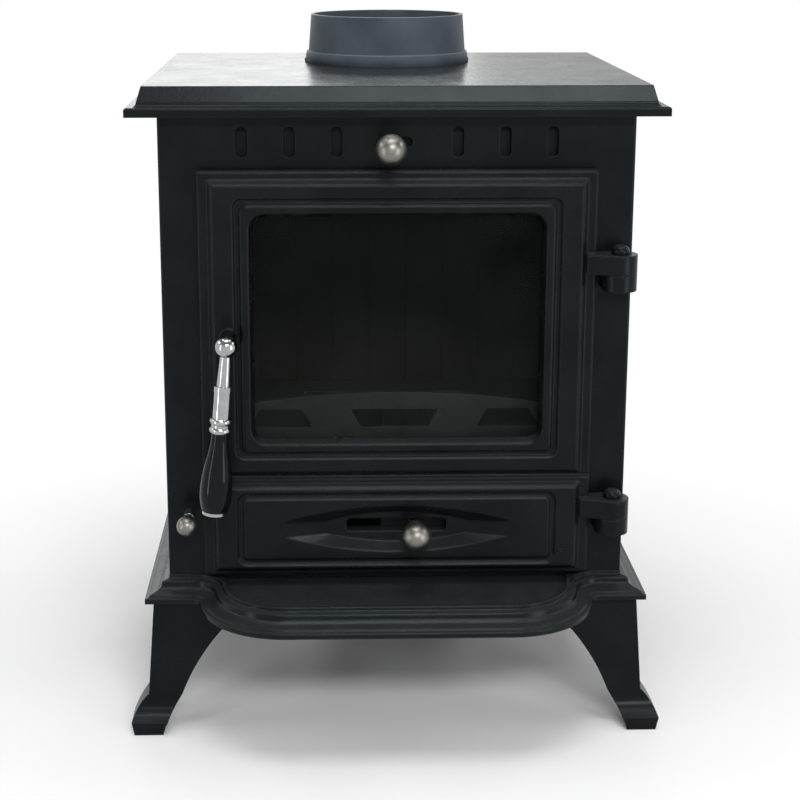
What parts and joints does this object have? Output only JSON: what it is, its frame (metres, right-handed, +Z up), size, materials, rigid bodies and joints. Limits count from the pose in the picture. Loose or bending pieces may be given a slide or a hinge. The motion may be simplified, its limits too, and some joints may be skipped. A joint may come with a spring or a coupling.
{
  "type": "wood stove",
  "caption": "Free-standing cast-iron room stove on splayed legs with a hinged glazed door, air controls, riddling grate, ash lip and round top flue collar.",
  "frame": {"origin": "on the floor, under the middle of the stove's outline", "axes": "+X to the right as seen from the front, +Y to the back, +Z up; the door faces -Y"},
  "size_m": [0.422, 0.42, 0.556],
  "materials": {
    "stove_black": "satin black stove paint on cast iron",
    "grate_iron": "rough unpainted casting",
    "liner_board": "pressed fire board, matte",
    "sheet_steel": "blackened sheet, dull",
    "plain_steel": "bright zinc",
    "knob_nickel": "satin nickel",
    "handle_chrome": "polished",
    "grip_black": "gloss black",
    "stove_glass": "dark ceramic glass",
    "seal_rope": "woven glass rope"
  },
  "bodies": {
    "stove": {"base_plate": "stove_black", "leg_front_left": "stove_black", "leg_front_right": "stove_black", "leg_rear_left": "stove_black", "leg_rear_right": "stove_black", "leg_bolts": "plain_steel", "top_plate": "stove_black", "flue_collar": "stove_black", "front_plate": "stove_black", "hinge_pins": "stove_black", "left_side_plate": "stove_black", "right_side_plate": "stove_black", "back_plate": "stove_black", "outlet_cover": "stove_black", "outlet_bolts": "plain_steel", "tie_rods": "sheet_steel", "grate_frame": "grate_iron", "log_guard": "grate_iron", "left_liner": "liner_board", "right_liner": "liner_board", "rear_liner": "liner_board", "baffle_plate": "grate_iron", "ash_pan": "sheet_steel", "airwash_guides": "sheet_steel"},
    "door": {"door_frame": "stove_black", "glass": "stove_glass", "glass_gasket": "seal_rope", "glass_clips": "sheet_steel", "door_rope_seal": "seal_rope", "air_slider_guides": "sheet_steel"},
    "handle": {"latch_spindle": "plain_steel", "latch_cam": "plain_steel", "latch_nut": "plain_steel", "handle_arm": "handle_chrome", "handle_ferrule": "handle_chrome", "handle_grip": "grip_black", "handle_cap": "handle_chrome"},
    "primary_air": {"air_slider": "sheet_steel", "air_knob": "knob_nickel"},
    "airwash": {"airwash_slider": "sheet_steel", "airwash_knob": "knob_nickel"},
    "riddle": {"riddle_rod": "plain_steel", "riddle_knob": "knob_nickel", "shaker_grate": "grate_iron"}
  },
  "joints": [
    {"name": "door_hinge", "type": "hinge", "parent": "stove", "child": "door", "pos_m": [0.1685, -0.138, 0.28], "axis": [0, 0, 1], "range_deg": [0, 115]},
    {"name": "latch_turn", "type": "hinge", "parent": "door", "child": "handle", "pos_m": [-0.1283, -0.144, 0.327], "axis": [0, 1, 0], "range_deg": [-30, 60]},
    {"name": "primary_air_slide", "type": "slide", "parent": "door", "child": "primary_air", "axis": [1, 0, 0], "range_m": [-0.045, 0.018]},
    {"name": "airwash_slide", "type": "slide", "parent": "stove", "child": "airwash", "axis": [1, 0, 0], "range_m": [0, 0.014]},
    {"name": "riddle_slide", "type": "slide", "parent": "stove", "child": "riddle", "axis": [0, 1, 0], "range_m": [-0.03, 0]}
  ]
}
